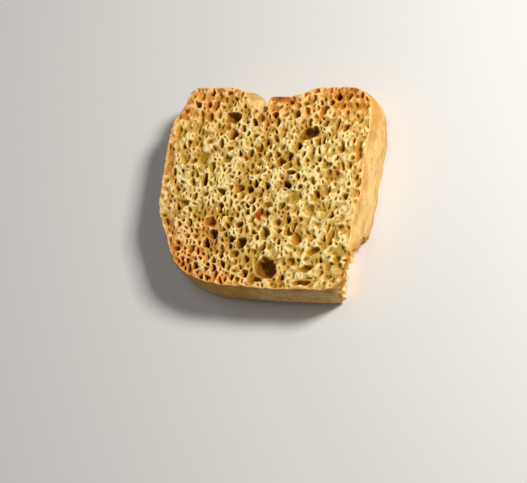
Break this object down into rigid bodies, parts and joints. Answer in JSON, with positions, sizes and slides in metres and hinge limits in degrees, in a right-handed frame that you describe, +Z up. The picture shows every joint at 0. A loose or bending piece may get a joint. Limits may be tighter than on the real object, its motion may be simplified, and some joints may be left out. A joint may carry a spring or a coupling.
{
  "type": "whole wheat toast slice",
  "caption": "One thick slice of dry golden toast with an open, pitted crumb, a smooth crust side and a notch in its top edge, lying flat.",
  "frame": {"origin": "middle of the slice's box on the underside, where it rests", "axes": "+X to the slice's right, +Y towards its notched top edge, +Z up out of the shown cut face"},
  "size_m": [0.0916, 0.0862, 0.0145],
  "materials": {
    "toast": "dry, matt, porous crumb, golden with browner pores and a smooth paler crust round the side"
  },
  "bodies": {
    "root": {"toast": "toast"}
  },
  "joints": []
}
